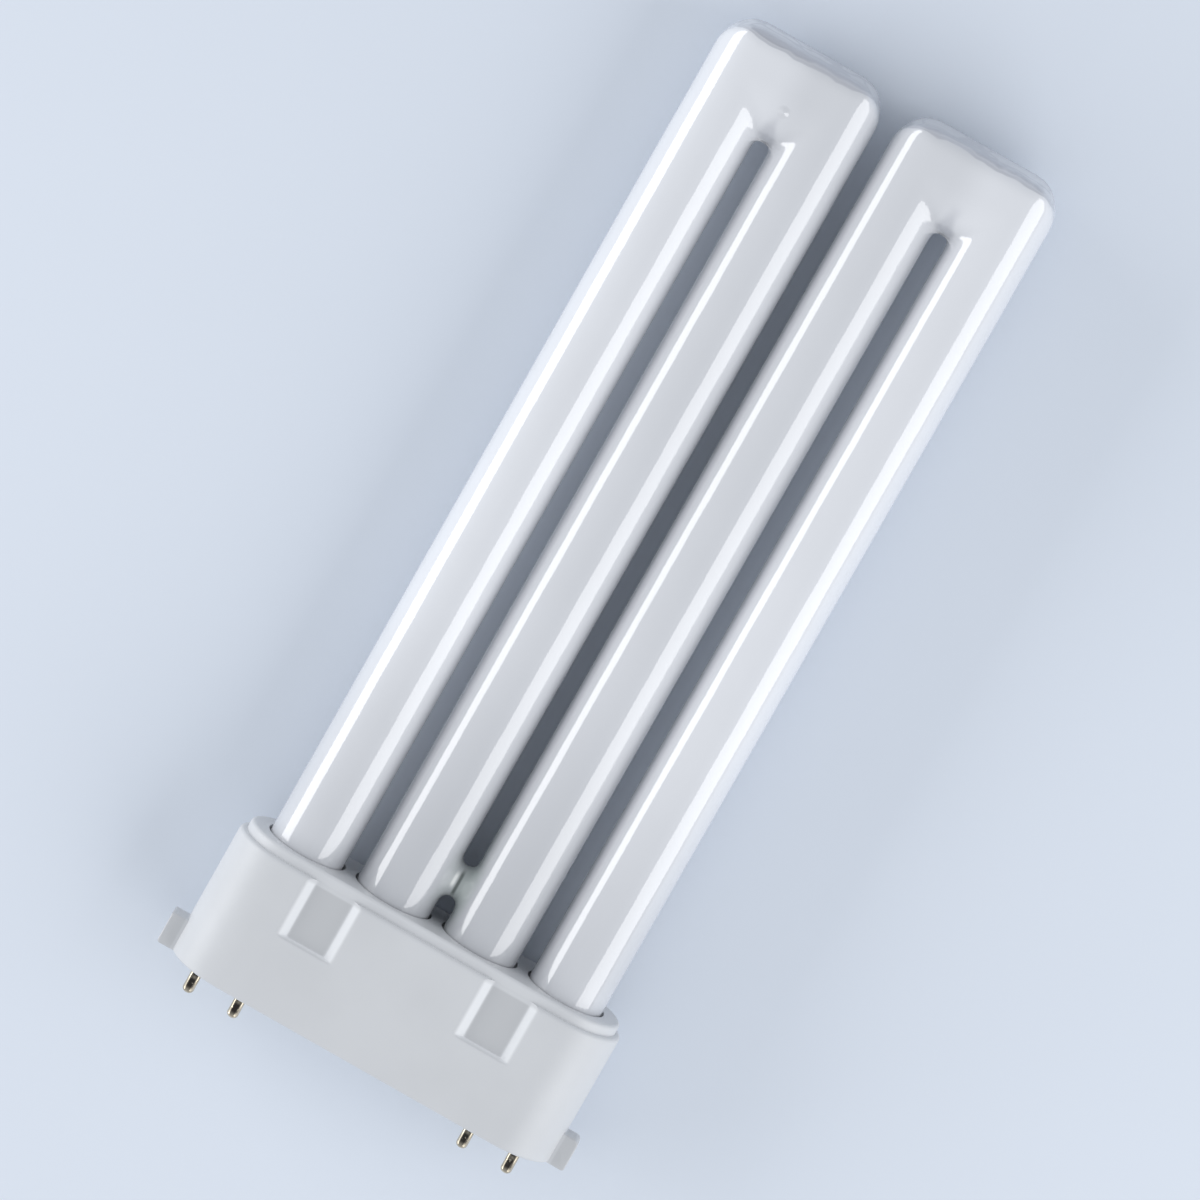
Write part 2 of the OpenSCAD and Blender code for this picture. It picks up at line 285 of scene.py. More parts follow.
def build_tone_group():
    """Slow cloudy change of tone over a surface."""
    group, start, end = node_group(
        "slow_tone",
        [
            ("Color", "NodeSocketColor", (0.8, 0.8, 0.8, 1)),
            ("Shade", "NodeSocketColor", (0.7, 0.7, 0.7, 1)),
            ("Scale", "NodeSocketFloat", 60.0),
        ],
        [("Color", "NodeSocketColor")],
    )
    place = group.nodes.new("ShaderNodeTexCoord")
    noise = add_noise(group, place.outputs["Object"], start.outputs["Scale"], 3)
    spread = group.nodes.new("ShaderNodeMapRange")
    spread.inputs["From Min"].default_value = TONE_SPAN[0]
    spread.inputs["From Max"].default_value = TONE_SPAN[1]
    group.links.new(noise, spread.inputs["Value"])
    share = spread.outputs["Result"]
    mixed = add_mix(group, share, start.outputs["Color"], start.outputs["Shade"])
    group.links.new(mixed, end.inputs["Color"])
    return group


def build_grain_group():
    """Fine spark-eroded grain of a mould: a height and a roughness."""
    group, start, end = node_group(
        "mould_grain",
        [
            ("Scale", "NodeSocketFloat", 2500.0),
            ("Roughness", "NodeSocketFloat", 0.5),
            ("Spread", "NodeSocketFloat", 0.1),
        ],
        [("Height", "NodeSocketFloat"), ("Roughness", "NodeSocketFloat")],
    )
    place = group.nodes.new("ShaderNodeTexCoord")
    fine = add_noise(group, place.outputs["Object"], start.outputs["Scale"], 4)
    broad = add_noise(group, place.outputs["Object"], GLOSS_SCALE)
    change = add_math(group, "SUBTRACT", broad, 0.5)
    change = add_product(group, change, start.outputs["Spread"])
    rough = add_math(group, "ADD", change, start.outputs["Roughness"])
    group.links.new(fine, end.inputs["Height"])
    group.links.new(rough, end.inputs["Roughness"])
    return group


def shared_group(name):
    """A node group by name, built on first use."""
    builders = {"slow_tone": build_tone_group, "mould_grain": build_grain_group}
    return bpy.data.node_groups.get(name) or builders[name]()


def place_group(tree, name, **values):
    """A shared group placed in a material with its own values, and its outputs."""
    made = tree.nodes.new("ShaderNodeGroup")
    made.node_tree = shared_group(name)
    for socket, value in values.items():
        made.inputs[socket].default_value = value
    return made.outputs


# Materials


def new_material(name):
    """A material with a Principled shader: the material, its tree and the shader."""
    material = bpy.data.materials.new(name)
    material.use_nodes = True
    tree = material.node_tree
    return material, tree, tree.nodes["Principled BSDF"]


def object_place(tree):
    """A material's place on its object: the node, and the outputs of its three parts."""
    place = tree.nodes.new("ShaderNodeTexCoord")
    parts = tree.nodes.new("ShaderNodeSeparateXYZ")
    tree.links.new(place.outputs["Object"], parts.inputs["Vector"])
    return place, parts.outputs


def place_tone(tree, tint, shade, scale):
    """The slow tone from a colour to a share of it, and its output."""
    outputs = place_group(
        tree, "slow_tone", Color=rgba(tint), Shade=rgba(shaded(tint, shade)), Scale=scale
    )
    return outputs["Color"]


def set_shader(tree, shader, **inputs):
    """Feeds the shader's inputs, written with _ for each space, with sockets or plain values."""
    for name, value in inputs.items():
        feed(tree, shader.inputs[name.replace("_", " ")], value)


def add_bump(tree, shader, height, strength, distance):
    """Bump from a height into the shader's normal, and its output."""
    bump = tree.nodes.new("ShaderNodeBump")
    bump.inputs["Strength"].default_value = strength
    bump.inputs["Distance"].default_value = distance
    tree.links.new(height, bump.inputs["Height"])
    tree.links.new(bump.outputs["Normal"], shader.inputs["Normal"])
    return bump.outputs["Normal"]


# Marks in the glass's coating, most of them painted shade and one a painted glint: how strong each
# one is, and from where to where it fades
# Painted shade on the inner legs and towards the feet
SHADE_INNER, SHADE_FOOT = 0.2, 0.3
INNER_FADE = (LEG_PITCH - 4 * MM, LEG_PITCH + 4 * MM)
FOOT_FADE = (-72 * MM, -10 * MM)
# Painted shade: the bridge's lit left side is painted less bare, and the flank to its right is
# painted darker far along it
THIN_LEFT, FLANK_SHADE_SHARE = 0.5, 0.55
RIGHT_RISE = (-0.5 * MM, 1.0 * MM)
FLANK_FADE = (1.6 * MM, 4.4 * MM)
THIN_FADE = (2.5 * MM, 8 * MM)
FLANK_SHADE_FADE = (6 * MM, 24 * MM)
SEAM_SHARE, SEAM_GROOVE = 0.85, 3.0
SEAM_FADE = (0.1 * MM, 0.55 * MM)
SEAM_END_FADE = (1.8 * MM, 3.4 * MM)
# Painted glint beside the bridge's seam
GLINT_SHARE, GLINT_X, GLINT_RISE = 0.85, -0.95 * MM, 0.6 * MM
GLINT_END_FADE = (0.6 * MM, 2.2 * MM)
MATT_SHARE = 0.9
MATT_FADE = (3.2 * MM, 4.6 * MM)
MATT_END_FADE = (3 * MM, 6 * MM)
CLOUD_SCALE, TIP_WAVE = 120.0, 0.85
# Painted shade on the tips and along the folds of the moulded bends
TIP_SHARE, BRIM_SHARE, FOLD_SHARE = 0.35, 0.5, 0.6
TIP_RISE = (TIP_Y - 8 * MM, TIP_Y - 5 * MM)
FACING_RISE = (0.66, 0.88)
BRIM_RISE = (MM, 6 * MM)
TIP_FOLDS = ((0.66, 0.14), (0.9, 0.05))
# Painted shade in the crease above each slot
SLOT_SHADE_SHARE, SLOT_SHADE_WANDER = 0.4, 5 * MM
SLOT_SHADE_FADE = (0.5 * MM, 2.2 * MM)
SLOT_SHADE_FOOT_RISE = (0.5 * MM, 2 * MM)
SLOT_SHADE_TOP_FADE = (3.5 * MM, 8.5 * MM)
PIP_X, PIP_RISE, PIP_R, PIP_HEIGHT = 0.5 * MM - LEG_PITCH, 8.0 * MM, 1.5 * MM, 16.0


def leg_coating_and_shade(tree, settings, parts):
    """White coating, with painted shade that greys it on the inner legs and towards all four feet.
    """
    tone = place_tone(tree, settings.coating, shade=0.975, scale=38.0)
    across = add_math(tree, "ABSOLUTE", parts["X"])
    inner = add_product(tree, add_fade(tree, across, *INNER_FADE), SHADE_INNER)
    foot = add_product(tree, add_fade(tree, parts["Y"], *FOOT_FADE), SHADE_FOOT)
    grey = add_math(tree, "ADD", inner, foot)
    return add_mix(tree, grey, tone, rgba(settings.shade_grey))


def bridge_coating(tree, settings, parts, bridge, under):
    """Coating that thins out to bare glass on the bridge, with painted shade that darkens the
    bridge's right side and the flank to its right.
    """
    rightward = add_rise(tree, parts["X"], *RIGHT_RISE)
    uneven = add_math(tree, "ADD", THIN_LEFT, add_product(tree, rightward, 1 - THIN_LEFT))
    thin = add_spot(tree, parts, bridge, FLANK_FADE, THIN_FADE)
    bare_and_shade = add_mix(tree, add_product(tree, thin, uneven), under, rgba(settings.bare_and_shade))
    far = add_product(tree, rightward, add_spot(tree, parts, bridge, FLANK_FADE, FLANK_SHADE_FADE))
    return add_tint(tree, far, FLANK_SHADE_SHARE, bare_and_shade, settings.bare_and_shade)


def bridge_join(tree, settings, parts, bridge, seam, under):
    """The dark seam of the bridge, with a painted glint along its left side."""
    joined = add_tint(tree, seam, SEAM_SHARE, under, settings.seam)
    beside = (GLINT_X, bridge[1] + GLINT_RISE)
    glint = add_spot(tree, parts, beside, SEAM_FADE, GLINT_END_FADE)
    return add_tint(tree, glint, GLINT_SHARE, joined, settings.glint)


def tip_painted_shade(tree, settings, place, parts, cloud, under):
    """Painted shade where the bends face along the lamp towards the tips, with two fine lines of
    painted shade along the folds of the mould.
    """
    facing = tree.nodes.new("ShaderNodeSeparateXYZ")
    tree.links.new(place.outputs["Normal"], facing.inputs["Vector"])
    wave = add_product(tree, cloud, TIP_WAVE)
    ending = add_math(tree, "ADD", facing.outputs["Y"], wave)
    tip = add_rise(tree, parts["Y"], *TIP_RISE)
    end = add_product(tree, add_rise(tree, ending, *FACING_RISE), tip)
    depth = add_gap(tree, parts["Z"], AXIS_Z)
    brim = add_product(tree, add_rise(tree, depth, *BRIM_RISE), BRIM_SHARE)
    end = add_product(tree, end, add_math(tree, "ADD", brim, TIP_SHARE))
    finish = add_mix(tree, end, under, rgba(settings.tip_shade_tint))
    for turn, width in TIP_FOLDS:
        line = add_fade(tree, add_gap(tree, ending, turn), 0.2 * width, width)
        finish = add_tint(tree, add_product(tree, line, tip), FOLD_SHARE, finish, settings.fold_shade)
    return finish


def rise_above_slot(tree, settings, parts):
    """How far a place is above the slot of its own U tube, and its output."""
    rightward = add_rise(tree, parts["X"], *RIGHT_RISE)
    change = add_product(tree, rightward, settings.left_slot - settings.right_slot)
    slot_y = add_math(tree, "ADD", change, TIP_Y - settings.left_slot)
    return add_math(tree, "SUBTRACT", parts["Y"], slot_y)


def slot_painted_shade(tree, settings, parts, above, cloud, under):
    """Painted shade in the crease where the glass is pinched above the slots."""
    middle = add_gap(tree, add_math(tree, "ABSOLUTE", parts["X"]), LEG_PITCH)
    wander = add_product(tree, cloud, SLOT_SHADE_WANDER)
    slot_shade = add_fade(tree, add_math(tree, "ADD", middle, wander), *SLOT_SHADE_FADE)
    slot_shade = add_product(tree, slot_shade, add_rise(tree, above, *SLOT_SHADE_FOOT_RISE))
    slot_shade = add_product(tree, slot_shade, add_fade(tree, above, *SLOT_SHADE_TOP_FADE))
    return add_tint(tree, slot_shade, SLOT_SHADE_SHARE, under, settings.fold_shade)


def mould_pip(tree, parts, above):
    """Height of the pip above the left slot, where the mould closed, and its output."""
    aside = add_math(tree, "SUBTRACT", parts["X"], PIP_X)
    along = add_math(tree, "SUBTRACT", above, PIP_RISE)
    squares = [add_product(tree, reach, reach) for reach in (aside, along)]
    apart = add_math(tree, "SQRT", add_math(tree, "ADD", *squares))
    return add_product(tree, add_fade(tree, apart, 0.0, PIP_R), PIP_HEIGHT)


def coated_glass_material(settings, bridge_y):
    """White phosphor coating behind clear glass, thin and greenish round the bridge, with painted
    shade and a painted glint laid over it.
    """
    material, tree, shader = new_material("coated_glass")
    place, parts = object_place(tree)
    bridge = (0.0, bridge_y)
    seam = add_spot(tree, parts, bridge, SEAM_FADE, SEAM_END_FADE)
    above = rise_above_slot(tree, settings, parts)
    cloud = add_noise(tree, place.outputs["Object"], CLOUD_SCALE)
    cloud = add_math(tree, "SUBTRACT", cloud, 0.5)
    finish = leg_coating_and_shade(tree, settings, parts)
    finish = bridge_coating(tree, settings, parts, bridge, finish)
    finish = bridge_join(tree, settings, parts, bridge, seam, finish)
    finish = tip_painted_shade(tree, settings, place, parts, cloud, finish)
    finish = slot_painted_shade(tree, settings, parts, above, cloud, finish)
    # Drawn tubing is slightly wavy along its length, and the seam is a groove
    wave = add_stretched_noise(
        tree, place.outputs["Object"], stretch=0.28, scale=260.0, detail=1.5
    )
    height = add_math(tree, "SUBTRACT", wave, add_product(tree, seam, SEAM_GROOVE))
    height = add_math(tree, "ADD", height, mould_pip(tree, parts, above))
    normal = add_bump(tree, shader, height, strength=0.35, distance=0.12 * MM)
    # The flame that made the bridge took the gloss off it
    lost = add_spot(tree, parts, bridge, MATT_FADE, MATT_END_FADE)
    gloss = add_math(tree, "SUBTRACT", 1.0, add_product(tree, lost, MATT_SHARE))
    set_shader(
        tree, shader, Base_Color=finish, Roughness=0.42, IOR=1.5, Specular_IOR_Level=0.3,
        Coat_Weight=gloss, Coat_Roughness=0.05, Coat_IOR=1.95, Coat_Normal=normal,
    )
    return material


# Painted light on the recesses' sides, and painted shade on their floors and on the lugs, against
# the rest of the shell
SIDE_LIGHT, FLOOR_SHADE, LUG_SHADE = 1.2, 0.84, 0.85
# Shares of a recess's depth over which its sides and its floor begin
SIDE_RISE = (0.02, 0.3)
FLOOR_RISE = (0.8, 0.98)
# Where the tones end at a recess's edges, and where a lug's begins
EDGE_FADE = (0.0, 0.4 * MM)
TOP_FADE = (RIM_Y - 1.2 * MM, RIM_Y - 0.4 * MM)
BOTTOM_RISE = (-0.1 * MM, 0.4 * MM)
LUG_RISE = (0.0, 0.5 * MM)


def recess_light_and_shade(tree, settings, tint, under):
    """Painted light on the sides of the recesses, and painted shade on their floors and on the
    lugs.
    """
    parts = object_place(tree)[1]
    out = add_gap(tree, parts["Z"], AXIS_Z)
    depth = add_math(tree, "SUBTRACT", BASE_HALF_DEPTH, out)
    begun = add_rise(tree, depth, *(share * settings.catch_depth for share in SIDE_RISE))
    deep = add_rise(tree, depth, *(share * settings.catch_depth for share in FLOOR_RISE))
    across = add_math(tree, "ABSOLUTE", parts["X"])
    off = add_gap(tree, across, settings.catch_x)
    inside = add_fade(tree, off, *(settings.catch_w / 2 + edge for edge in EDGE_FADE))
    low = add_fade(tree, parts["Y"], *TOP_FADE)
    foot = RIM_Y - settings.catch_h
    high = add_rise(tree, parts["Y"], *(foot + edge for edge in BOTTOM_RISE))
    within = add_product(tree, add_product(tree, inside, low), high)
    sides = add_product(tree, begun, within)
    finish = add_mix(tree, sides, under, rgba(shaded(tint, SIDE_LIGHT)))
    floor = add_product(tree, deep, within)
    finish = add_mix(tree, floor, finish, rgba(shaded(tint, FLOOR_SHADE)))
    end_x = SHELL_HIGH.x - settings.lug_out
    lug = add_rise(tree, across, *(end_x + edge for edge in LUG_RISE))
    return add_mix(tree, lug, finish, rgba(shaded(tint, LUG_SHADE)))


def moulded_plastic_material(name, settings, share, recessed=False):
    """Pale grey moulded plastic with a fine grain; a piece with recesses gets painted light and
    shade on them and painted shade on its lugs.
    """
    material, tree, shader = new_material(name)
    tint = shaded(settings.plastic, share)
    finish = place_tone(tree, tint, shade=0.96, scale=55.0)
    if recessed:
        finish = recess_light_and_shade(tree, settings, tint, finish)
    grain = place_group(tree, "mould_grain", Scale=2600.0, Roughness=0.40, Spread=0.12)
    add_bump(tree, shader, grain["Height"], strength=0.25, distance=0.03 * MM)
    set_shader(tree, shader, Base_Color=finish, Roughness=grain["Roughness"], IOR=1.5)
    return material


# The painted dark reflection round a pin's dents: shares of the pin's radius over which it begins,
# how far along the pin it fades, and the noise values over which its patches begin
REFLECTION_RISE = (0.62, 0.86)
REFLECTION_FADE = (1.9 * MM, 3.5 * MM)
PATCH_SCALE, PATCH_RISE = 1100.0, (0.3, 0.42)


def pin_metal_material(settings):
    """Bright drawn brass with fine marks round the pin, and a patchy painted dark reflection on
    its front and back round its dents.
    """
    material, tree, shader = new_material("pin_metal")
    tone = place_tone(tree, settings.metal, shade=0.8, scale=900.0)
    place, parts = object_place(tree)
    marks = add_stretched_noise(
        tree, place.outputs["Object"], stretch=30.0, scale=400.0, detail=3
    )
    add_bump(tree, shader, marks, strength=0.2, distance=0.02 * MM)
    out = add_gap(tree, parts["Z"], AXIS_Z)
    front = add_rise(tree, out, *(share * settings.pin_r for share in REFLECTION_RISE))
    near = add_fade(tree, add_gap(tree, parts["Y"], DENT_Y), *REFLECTION_FADE)
    patches = add_noise(tree, place.outputs["Object"], PATCH_SCALE, 3)
    patchy = add_rise(tree, patches, *PATCH_RISE)
    spot = add_product(tree, add_product(tree, front, near), patchy)
    darkened = add_mix(tree, spot, tone, rgba(settings.reflection))
    set_shader(tree, shader, Base_Color=darkened, Metallic=1.0, Roughness=0.16)
    return material


def wire_metal_material():
    """Dull nickel alloy wire."""
    material, tree, shader = new_material("wire_metal")
    tone = place_group(
        tree, "slow_tone", Color=(0.50, 0.47, 0.43, 1), Shade=(0.38, 0.36, 0.34, 1), Scale=1200.0
    )
    set_shader(tree, shader, Base_Color=tone["Color"], Metallic=1.0, Roughness=0.38)
    return material


def cement_material():
    """Matt off-white bonding cement."""
    material, tree, shader = new_material("bonding_cement")
    tone = place_group(
        tree, "slow_tone", Color=(0.62, 0.60, 0.55, 1), Shade=(0.50, 0.48, 0.43, 1), Scale=700.0
    )
    grain = place_group(tree, "mould_grain", Scale=1500.0, Roughness=0.85, Spread=0.1)
    set_shader(tree, shader, Base_Color=tone["Color"], Roughness=grain["Roughness"])
    add_bump(tree, shader, grain["Height"], strength=0.6, distance=0.1 * MM)
    return material


def paper_material(settings):
    """Pale matt sheet under the lamp."""
    material, tree, shader = new_material("pale_sheet")
    tone = place_tone(tree, settings.paper, shade=0.985, scale=6.0)
    set_shader(tree, shader, Base_Color=tone, Roughness=0.9, Specular_IOR_Level=0.2)
    return material


# Mesh work

# Points closer than this are one point, in a mesh made here and in a solid's skin
JOIN, SKIN_JOIN = 1e-7, 1e-6
# Share of the way to the middle of its neighbours that a loose point moves in a round
EASE = 0.6
# Rounds before the bends are cut and pinched, and after
FIRST_ROUNDS, LAST_ROUNDS = 10, 2
# Share of the way back to the solid's skin that a loose point is drawn, and the weight
# below which it stays
SKIN_SHARE, STILL = 0.85, 0.01
# Share of a leg's radius beyond which a point is on the leg's skin
OUTSIDE = 0.8
# Where the loose stretches begin, end or are full: below a slot's top, round the middle of
# the bridge and below the shell's rim
BEND_BEGIN, BEND_FULL = 6 * MM, 3 * MM
BRIDGE_FULL, BRIDGE_END = 6.5 * MM, 9 * MM
FOOT_FULL, FOOT_END = 4 * MM, 2 * MM
# The crease above a slot: its half width, and where it begins and ends above the slot's top
CREASE_W = 0.9 * MM
CREASE_BEGIN, CREASE_FULL = 0.5 * MM, 2 * MM
CREASE_FADE, CREASE_END = 3 * MM, 7 * MM
# The bump at the end of the crease: place, radius and share of the crease's depth
BUMP_X, BUMP_RISE, BUMP_R, BUMP_SHARE = 0.5 * MM, 7.4 * MM, 0.6 * MM, 0.5


def new_object(name, data, material=None):
    """An object in the scene from a mesh, a light or a camera."""
    made = bpy.data.objects.new(name, data)
    bpy.context.scene.collection.objects.link(made)
    if material:
        data.materials.clear()
        data.materials.append(material)
    return made


def dress(node, material):
    """A solid of the frame keeps its shape and gets a material."""
    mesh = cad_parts[node].data
    mesh.materials.clear()
    mesh.materials.append(material)


def stand_for(obj, slot, *nodes):
    """A piece rides on the lamp and stands for its solids."""
    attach(obj, "root")
    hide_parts(*nodes)


def vertex_values(mesh, name):
    """The places or normals of a mesh's vertices, as the rows of an array."""
    flat = np.empty(len(mesh.vertices) * 3)
    mesh.vertices.foreach_get(name, flat)
    return flat.reshape(-1, 3)


def relax(points, edges, weight, rounds):
    """Moves points towards the middle of their neighbours, as far as each one's weight says."""
    count = len(points)
    ends = np.concatenate([edges[:, 0], edges[:, 1]])
    others = np.concatenate([edges[:, 1], edges[:, 0]])
    near = np.bincount(ends, minlength=count)[:, None]
    for _ in range(rounds):
        sums = [np.bincount(ends, points[others, axis], count) for axis in range(3)]
        middle = np.stack(sums, axis=1) / near
        points = points + EASE * weight[:, None] * (middle - points)
    return points


def ramp(values, low, high):
    """Smooth step from 0 at low to 1 at high."""
    share = np.clip((values - low) / (high - low), 0, 1)
    return share * share * (3 - 2 * share)


def even_mesh(node, cell):
    """The solid's skin as an even mesh of small faces, and the skin itself to measure against."""
    work = bmesh.new()
    work.from_mesh(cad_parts[node].data)
    bmesh.ops.remove_doubles(work, verts=work.verts, dist=SKIN_JOIN)
    mesh = bpy.data.meshes.new(node + "_skin")
    work.to_mesh(mesh)
    skin = BVHTree.FromBMesh(work)
    work.free()
    carrier = new_object(node + "_carrier", mesh)
    remesh = carrier.modifiers.new("Even faces", "REMESH")
    remesh.mode = "VOXEL"
    remesh.voxel_size = cell
    graph = bpy.context.evaluated_depsgraph_get()
    even = bpy.data.meshes.new_from_object(carrier.evaluated_get(graph))
    bpy.data.objects.remove(carrier)
    bpy.data.meshes.remove(mesh)
    return even, skin


def draw_to_skin(points, weight, skin):
    """Draws points towards the skin, as far as each one's weight says."""
    for i in np.flatnonzero(weight > STILL):
        nearest = skin.find_nearest(Vector(points[i]))[0]
        points[i] += weight[i] * (np.array(nearest) - points[i])
    return points


def steepen_bends(points, slot_y, settings):
    """Cuts the hollow above each slot higher than it is wide, so that its creases are steep."""
    left = points[:, 0] < 0
    steep = np.where(left, settings.left_steep, settings.right_steep)
    across = np.abs(points[:, 0] - np.where(left, -LEG_PITCH, LEG_PITCH))
    side = np.clip(across - (LEG_PITCH / 2 - LEG_R), 0, LEG_R)
    leg_depth = np.sqrt(LEG_R**2 - (LEG_R - side) ** 2)
    under_r = LEG_R - settings.slot_edge
    rise = np.clip((points[:, 1] - slot_y) / steep, 0, under_r)
    bend_depth = settings.slot_edge + np.sqrt(under_r**2 - (under_r - rise) ** 2)
    most = np.where(points[:, 1] > slot_y, np.maximum(leg_depth, bend_depth), LEG_R)
    depth = points[:, 2] - AXIS_Z
    points[:, 2] = AXIS_Z + np.clip(depth, -most, most)
    return points


def pinch_bends(points, slot_y, settings):
    """Presses a short crease into both faces above each slot, with a small bump at its end."""
    left = points[:, 0] < 0
    depth = np.where(left, settings.left_pinch, settings.right_pinch)
    across = points[:, 0] - np.where(left, -LEG_PITCH, LEG_PITCH)
    rise = points[:, 1] - slot_y
    crease = np.exp(-((across / CREASE_W) ** 2)) * ramp(rise, CREASE_BEGIN, CREASE_FULL)
    crease = crease * (1 - ramp(rise, CREASE_FADE, CREASE_END))
    bump = np.exp(-(np.hypot(across - BUMP_X, rise - BUMP_RISE) / BUMP_R) ** 2)
    face = np.sign(points[:, 2] - AXIS_Z)
    points[:, 2] -= face * depth * (crease - BUMP_SHARE * bump)
    return points


def loose_weight(points, slot_y, settings):
    """How freely each point may move: 1 on the bends, the bridge and the feet, 0 between."""
    bridge_y = COLLAR_Y + settings.bridge_rise
    bend = ramp(points[:, 1], slot_y - BEND_BEGIN, slot_y - BEND_FULL)
    from_bridge = np.hypot(points[:, 0], points[:, 1] - bridge_y)
    bridge = 1 - ramp(from_bridge, BRIDGE_FULL, BRIDGE_END)
    feet = 1 - ramp(points[:, 1], RIM_Y - FOOT_FULL, RIM_Y - FOOT_END)
    return np.maximum(np.maximum(bend, bridge), feet)


def round_legs(points, loose):
    """Sets the straight legs exactly round: the points, how firmly, and each one's direction."""
    leg = np.clip(np.round(points[:, 0] / LEG_PITCH + 1.5), 0, 3)
    out = np.stack([points[:, 0] - (leg - 1.5) * LEG_PITCH, points[:, 2] - AXIS_Z], axis=1)
    reach = np.hypot(out[:, 0], out[:, 1])[:, None]
    round_place = out / reach * LEG_R
    firm = (1 - loose)[:, None] * (reach > OUTSIDE * LEG_R)
    out = out + firm * (round_place - out)
    points[:, 0] = out[:, 0] + (leg - 1.5) * LEG_PITCH
    points[:, 2] = out[:, 1] + AXIS_Z
    return points, firm, out


def unit_rows(rows):
    """Each row of an array at length 1."""
    return rows / np.linalg.norm(rows, axis=1)[:, None]


def soften_glass(mesh, skin, settings):
    """Makes the legs straight and round, and lets the bends and the bridge flow into them."""
    points = vertex_values(mesh, "co")
    edges = np.empty(len(mesh.edges) * 2, np.int64)
    mesh.edges.foreach_get("vertices", edges)
    edges = edges.reshape(-1, 2)
    left_y, right_y = TIP_Y - settings.left_slot, TIP_Y - settings.right_slot
    slot_y = np.where(points[:, 0] < 0, left_y, right_y)
    loose = loose_weight(points, slot_y, settings)
    points = relax(points, edges, loose, FIRST_ROUNDS)
    points = draw_to_skin(points, SKIN_SHARE * loose, skin)
    points = steepen_bends(points, slot_y, settings)
    points = pinch_bends(points, slot_y, settings)
    points = relax(points, edges, loose, LAST_ROUNDS)
    points, firm, out = round_legs(points, loose)
    mesh.vertices.foreach_set("co", points.ravel())
    mesh.update()
    mesh.polygons.foreach_set("use_smooth", np.ones(len(mesh.polygons), bool))
    # Normals of the straight stretches come from their axes, so their highlights run true
    normals = vertex_values(mesh, "normal")
    radial = unit_rows(np.stack([out[:, 0], np.zeros(len(out)), out[:, 1]], axis=1))
    normals = unit_rows(normals + firm * (radial - normals))
    mesh.normals_split_custom_set_from_vertices(normals.tolist())


def grid_mesh(name, rings):
    """A mesh through closed rings of points that all have the same count."""
    count = len(rings[0])
    places = [point for ring in rings for point in ring]
    faces = [
        (
            row * count + column,
            row * count + (column + 1) % count,
            (row + 1) * count + (column + 1) % count,
            (row + 1) * count + column,
        )
        for row in range(len(rings) - 1)
        for column in range(count)
    ]
    mesh = bpy.data.meshes.new(name)
    mesh.from_pydata(places, [], faces)
    return mesh


def clean_mesh(mesh, sharp):
    """Joins points that meet, turns normals outwards and shades smooth up to an angle."""
    work = bmesh.new()
    work.from_mesh(mesh)
    bmesh.ops.remove_doubles(work, verts=work.verts, dist=JOIN)
    bmesh.ops.dissolve_degenerate(work, edges=work.edges, dist=JOIN)
    bmesh.ops.recalc_face_normals(work, faces=work.faces)
    for face in work.faces:
        face.smooth = True
    for edge in work.edges:
        edge.smooth = edge.is_manifold and edge.calc_face_angle(0) < sharp
    work.to_mesh(mesh)
    work.free()


def arc_steps(count):
    """Angles of a quarter turn in even steps, both ends included."""
    return [math.pi / 2 * step / count for step in range(count + 1)]


# Spacing of the shell's columns along its faces, and close to where a recess's wall turns
COLUMN_STEP, TURN_STEP, TURN_COUNT, NEAREST = 1.4 * MM, 0.1 * MM, 6, 0.05 * MM
# Columns round each end of the shell, and rings up its side
END_COLUMNS, SIDE_RINGS = 40, 16
# Steps of the arcs on the shell's bottom edge, its top edge and a pin's tip
FOOT_ARC, RIM_ARC, TIP_ARC = 5, 6, 7
# Spacing of the rings at a recess's foot, and steps below and above it
EDGE_STEP, EDGE_BELOW, EDGE_ABOVE = 0.08 * MM, 6, 14
# Inset of the ring on the flat foot, of the ring on the rim past a recess's depth, and the
# drop to the first ring inside
FLAT_INSET, RIM_INSET, INSIDE_DROP = 3 * MM, 0.3 * MM, 6 * MM
# Height of the slope at a recess's foot, and how soft the turns of its sides and foot are
FOOT_RUN, SIDE_SOFT, FOOT_SOFT = 0.45 * MM, 0.16, 0.3
# The share of a recess's depth that counts as none
NO_DEPTH = 0.01
# Radii of a lug's outer corners, and the bevel along its other edges
LUG_TOP_R, LUG_FOOT_R, LUG_BEVEL = 1.2 * MM, 0.6 * MM, 0.3 * MM
# How far the buried end of a lug stays clear of the shell's flat foot
LUG_CLEAR = 0.05 * MM
# Places closer than this count as one place
TOUCH = 1e-6


def face_columns(settings, half_straight):
    """Places along a broad face, close together where a recess's wall turns."""
    count = math.ceil(2 * half_straight / COLUMN_STEP)
    places = [-half_straight + 2 * half_straight * i / count for i in range(count + 1)]
    turns = (settings.catch_floor_w / 2, settings.catch_w / 2)
    offsets = [i * TURN_STEP for i in range(-TURN_COUNT, TURN_COUNT + 1)]
    for side in (-1, 1):
        for wall in (-1, 1):
            for turn in turns:
                edge = side * settings.catch_x + wall * turn
                places += [edge + offset for offset in offsets]
    kept = []
    for place in sorted(places):
        if not kept or place - kept[-1] > NEAREST:
            kept.append(place)
    return kept


def soft_floor(value, soft):
    """Keeps a value from falling below 0, with a rounded turn."""
    return (value + math.sqrt(value * value + soft * soft)) / 2


def soft_clamp(value, soft):
    """Clamps to 0 and 1 with rounded turns."""
    return 1 - soft_floor(1 - soft_floor(value, soft), soft)


